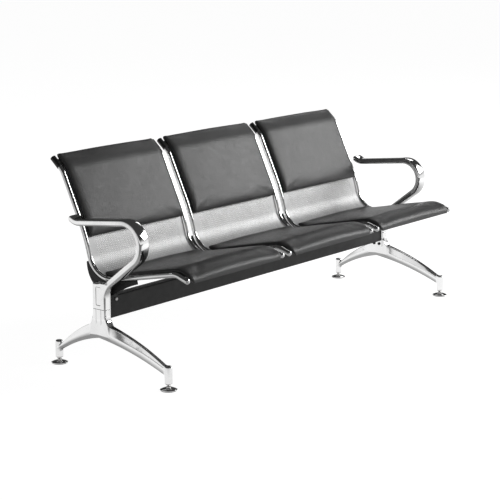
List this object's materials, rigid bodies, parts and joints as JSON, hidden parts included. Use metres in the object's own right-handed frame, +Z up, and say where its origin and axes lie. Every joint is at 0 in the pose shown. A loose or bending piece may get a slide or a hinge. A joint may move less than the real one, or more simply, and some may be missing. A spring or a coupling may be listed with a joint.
{
  "type": "beam seating bench",
  "caption": "Waiting-room beam bench: padded seats of sheet steel between chromed tube rails on a steel beam, with cast arched legs, loop armrests at the ends and levelling feet.",
  "frame": {"origin": "on the floor, under the middle of the bench's outer box", "axes": "+X along the bench, to the right as seen from the front; the seats face -Y; +Z up"},
  "size_m": [1.809, 0.6608, 0.7689],
  "materials": {
    "painted_steel": "satin black powder coat",
    "silver_sheet": "fine silver powder coat on perforated sheet",
    "chromed_tube": "mirror chrome plate on steel",
    "polished_casting": "chrome-plated, mirror-polished die casting",
    "pad_cover": "grained PU leather over foam",
    "plywood": "raw plywood, hidden in the pad",
    "black_plastic": "moulded, fine grain",
    "black_rubber": "matt moulded rubber",
    "plated_fasteners": "zinc plated"
  },
  "bodies": {
    "bench": {"beam": "painted_steel", "leg_bolts": "painted_steel", "armrest_bolts": "painted_steel", "beam_end_plate_left": "polished_casting", "beam_end_plate_right": "polished_casting", "leg_left": "polished_casting", "leg_right": "polished_casting", "armrest_left": "polished_casting", "armrest_right": "polished_casting", "bracket_bolts": "plated_fasteners", "bracket_nuts": "plated_fasteners", "seat_pad_screws": "plated_fasteners", "back_pad_screws": "plated_fasteners", "foot_inserts": "plated_fasteners", "seat_shell_1": "silver_sheet", "seat_board_1": "plywood", "back_board_1": "plywood", "seat_pad_1": "pad_cover", "back_pad_1": "pad_cover", "seat_1_rail_left": "chromed_tube", "seat_1_bracket_left": "painted_steel", "seat_1_rail_right": "chromed_tube", "seat_1_bracket_right": "painted_steel", "rail_caps_1": "black_plastic", "seat_shell_2": "silver_sheet", "seat_board_2": "plywood", "back_board_2": "plywood", "seat_pad_2": "pad_cover", "back_pad_2": "pad_cover", "seat_2_rail_left": "chromed_tube", "seat_2_bracket_left": "painted_steel", "seat_2_rail_right": "chromed_tube", "seat_2_bracket_right": "painted_steel", "rail_caps_2": "black_plastic", "seat_shell_3": "silver_sheet", "seat_board_3": "plywood", "back_board_3": "plywood", "seat_pad_3": "pad_cover", "back_pad_3": "pad_cover", "seat_3_rail_left": "chromed_tube", "seat_3_bracket_left": "painted_steel", "seat_3_rail_right": "chromed_tube", "seat_3_bracket_right": "painted_steel", "rail_caps_3": "black_plastic", "rail_nose_plugs": "chromed_tube"},
    "sole_front_left": {"foot_sole_front_left": "black_rubber"},
    "screw_foot_front_left": {"foot_disc_front_left": "chromed_tube", "foot_stem_front_left": "plated_fasteners"},
    "sole_front_right": {"foot_sole_front_right": "black_rubber"},
    "screw_foot_front_right": {"foot_disc_front_right": "chromed_tube", "foot_stem_front_right": "plated_fasteners"},
    "sole_rear_left": {"foot_sole_rear_left": "black_rubber"},
    "screw_foot_rear_left": {"foot_disc_rear_left": "chromed_tube", "foot_stem_rear_left": "plated_fasteners"},
    "sole_rear_right": {"foot_sole_rear_right": "black_rubber"},
    "screw_foot_rear_right": {"foot_disc_rear_right": "chromed_tube", "foot_stem_rear_right": "plated_fasteners"}
  },
  "joints": [
    {"name": "level_front_left", "type": "slide", "parent": "bench", "child": "sole_front_left", "axis": [0, 0, 1], "range_m": [-0.012, 0.006]},
    {"name": "turn_front_left", "type": "hinge", "parent": "sole_front_left", "child": "screw_foot_front_left", "pos_m": [-0.8735, -0.26212, 0.0105], "axis": [0, 0, 1], "range_deg": [-2880, 1440]},
    {"name": "level_front_right", "type": "slide", "parent": "bench", "child": "sole_front_right", "axis": [0, 0, 1], "range_m": [-0.012, 0.006]},
    {"name": "turn_front_right", "type": "hinge", "parent": "sole_front_right", "child": "screw_foot_front_right", "pos_m": [0.8735, -0.26212, 0.0105], "axis": [0, 0, 1], "range_deg": [-2880, 1440]},
    {"name": "level_rear_left", "type": "slide", "parent": "bench", "child": "sole_rear_left", "axis": [0, 0, 1], "range_m": [-0.012, 0.006]},
    {"name": "turn_rear_left", "type": "hinge", "parent": "sole_rear_left", "child": "screw_foot_rear_left", "pos_m": [-0.8735, 0.27488, 0.0105], "axis": [0, 0, 1], "range_deg": [-2880, 1440]},
    {"name": "level_rear_right", "type": "slide", "parent": "bench", "child": "sole_rear_right", "axis": [0, 0, 1], "range_m": [-0.012, 0.006]},
    {"name": "turn_rear_right", "type": "hinge", "parent": "sole_rear_right", "child": "screw_foot_rear_right", "pos_m": [0.8735, 0.27488, 0.0105], "axis": [0, 0, 1], "range_deg": [-2880, 1440]}
  ],
  "couplings": [
    {"joint": "level_front_left", "follows": "turn_front_left", "m_per_rad": 0.00023873},
    {"joint": "level_front_right", "follows": "turn_front_right", "m_per_rad": 0.00023873},
    {"joint": "level_rear_left", "follows": "turn_rear_left", "m_per_rad": 0.00023873},
    {"joint": "level_rear_right", "follows": "turn_rear_right", "m_per_rad": 0.00023873}
  ]
}
